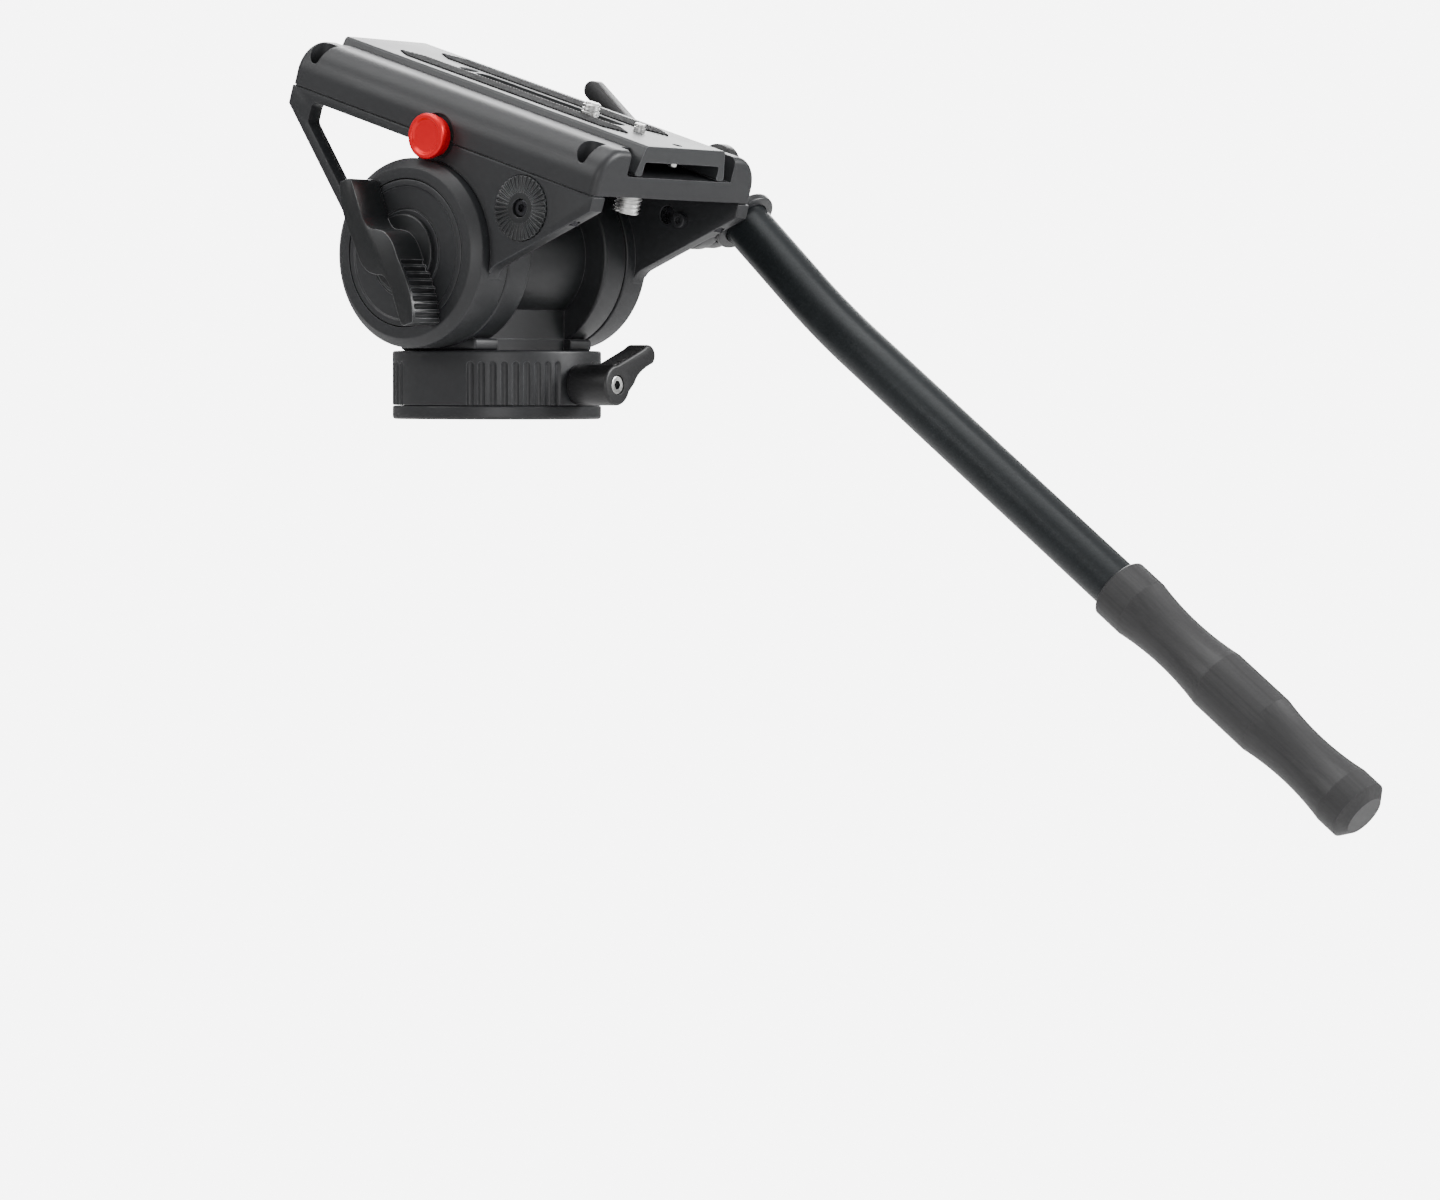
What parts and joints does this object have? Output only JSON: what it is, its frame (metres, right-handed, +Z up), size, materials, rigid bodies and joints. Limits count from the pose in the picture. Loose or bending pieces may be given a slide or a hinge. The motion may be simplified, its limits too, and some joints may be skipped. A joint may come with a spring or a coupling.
{
  "type": "fluid video head",
  "caption": "Pan and tilt camera head: ribbed turning ring, yoke, tilting channel with side plates, sliding dovetail plate, lock knobs and a long pan handle with a shaped grip.",
  "frame": {"origin": "centre of the base's seating face, on the pan axis", "axes": "+Z up along the pan axis, +Y towards the lens, +X to the operator's right along the tilt axis"},
  "size_m": [0.1398, 0.3865, 0.2741],
  "materials": {
    "housing": "matte",
    "cover": "satin",
    "moulding": "satin",
    "bright_steel": "satin",
    "black_steel": "satin",
    "brass": "satin",
    "nylon": "satin",
    "tube": "satin",
    "grip": "matte",
    "strip": "matte",
    "button": "gloss"
  },
  "bodies": {
    "base": {"base_flange": "housing", "tripod_thread_bush": "brass", "pan_retaining_nut": "black_steel", "pan_thrust_washer": "nylon", "pan_drag_disc": "black_steel"},
    "pan_unit": {"pan_ring": "housing", "pan_brake_shoe": "brass", "yoke": "housing", "yoke_screw_rear_left": "bright_steel", "yoke_screw_rear_right": "bright_steel", "yoke_screw_front_left": "bright_steel", "yoke_screw_front_right": "bright_steel", "bearing_carrier": "cover", "axle_bush_left": "brass", "axle_bush_right": "brass", "tilt_axle": "bright_steel", "drag_disc_left": "black_steel", "drag_disc_right": "black_steel", "counterbalance_spring": "black_steel"},
    "pan_lever": {"pan_lock_lever": "moulding", "pan_lock_stud": "bright_steel", "pan_lock_screw": "bright_steel"},
    "tilt_knob": {"tilt_lock_knob": "cover", "tilt_knob_insert": "brass"},
    "tilt_head": {"channel_body": "housing", "side_plate_left": "housing", "side_plate_right": "housing", "drag_cover_left": "cover", "drag_cover_right": "cover", "rosette_left": "moulding", "rosette_right": "moulding", "rosette_plug": "black_steel", "rosette_screw_left": "black_steel", "rosette_screw_right": "black_steel", "body_screw_front_left": "black_steel", "body_screw_front_right": "black_steel", "body_screw_rear_left": "black_steel", "body_screw_rear_right": "black_steel", "button_spring": "bright_steel", "spare_tripod_screw": "bright_steel"},
    "clamp_lever": {"plate_lever": "moulding", "plate_lever_bolt": "bright_steel"},
    "jaw": {"clamp_jaw": "cover"},
    "catch_button": {"safety_button": "button", "safety_catch": "bright_steel"},
    "sliding_plate": {"camera_plate": "housing", "grip_strip_left": "strip", "grip_strip_right": "strip", "plate_stop_screw_front": "black_steel", "plate_stop_screw_rear": "black_steel"},
    "screw_carriage": {"camera_screw_washer": "nylon"},
    "fixing_screw": {"camera_screw": "bright_steel"},
    "pin": {"video_pin": "bright_steel"},
    "handle": {"handle_bracket": "cover", "handle_set_screw": "black_steel", "handle_tube": "tube", "handle_grip": "grip"},
    "handle_knob": {"handle_clamp_knob": "moulding", "handle_bolt": "bright_steel"}
  },
  "joints": [
    {"name": "pan", "type": "hinge", "parent": "base", "child": "pan_unit", "pos_m": [0, 0, 0.0245], "axis": [0, 0, 1], "continuous": true},
    {"name": "pan_lock", "type": "hinge", "parent": "pan_unit", "child": "pan_lever", "pos_m": [0, -0.0378, 0.0123], "axis": [0, 1, 0], "range_deg": [-60, 25]},
    {"name": "tilt", "type": "hinge", "parent": "pan_unit", "child": "tilt_head", "pos_m": [0, 0, 0.0586], "axis": [1, 0, 0], "range_deg": [-82.5, 42.5]},
    {"name": "tilt_lock", "type": "hinge", "parent": "pan_unit", "child": "tilt_knob", "pos_m": [0, 0, 0.0586], "axis": [1, 0, 0], "range_deg": [-60, 60]},
    {"name": "plate_clamp", "type": "hinge", "parent": "tilt_head", "child": "clamp_lever", "pos_m": [0, -0.06433, 0.09137], "axis": [1, 0, 0], "range_deg": [0, 75]},
    {"name": "jaw_travel", "type": "slide", "parent": "tilt_head", "child": "jaw", "axis": [1, 0, 0], "range_m": [0, 0.0009]},
    {"name": "safety_press", "type": "slide", "parent": "tilt_head", "child": "catch_button", "axis": [1, 0, 0], "range_m": [0, 0.0024], "stiffness_N_per_m": 1200, "springref_m": -0.001, "deforming": ["button_spring"]},
    {"name": "plate_slide", "type": "slide", "parent": "tilt_head", "child": "sliding_plate", "axis": [0, 0.9537, 0.3007], "range_m": [-0.054, 0.0605]},
    {"name": "screw_slide", "type": "slide", "parent": "sliding_plate", "child": "screw_carriage", "axis": [0, 0.9537, 0.3007], "range_m": [-0.008, 0.045]},
    {"name": "screw_spin", "type": "hinge", "parent": "screw_carriage", "child": "fixing_screw", "pos_m": [0, -0.04224, 0.1061], "axis": [0, -0.3007, 0.9537], "continuous": true},
    {"name": "pin_press", "type": "slide", "parent": "sliding_plate", "child": "pin", "axis": [0, 0.3007, -0.9537], "range_m": [0, 0.0018], "stiffness_N_per_m": 400, "springref_m": -0.001},
    {"name": "handle_angle", "type": "hinge", "parent": "tilt_head", "child": "handle", "pos_m": [0, -0.04799, 0.07346], "axis": [1, 0, 0], "range_deg": [-15, 75]},
    {"name": "handle_clamp", "type": "hinge", "parent": "handle", "child": "handle_knob", "pos_m": [0, -0.04799, 0.07346], "axis": [1, 0, 0], "continuous": true}
  ],
  "couplings": [
    {"joint": "jaw_travel", "follows": "plate_clamp", "m_per_rad": 0.0006875}
  ]
}
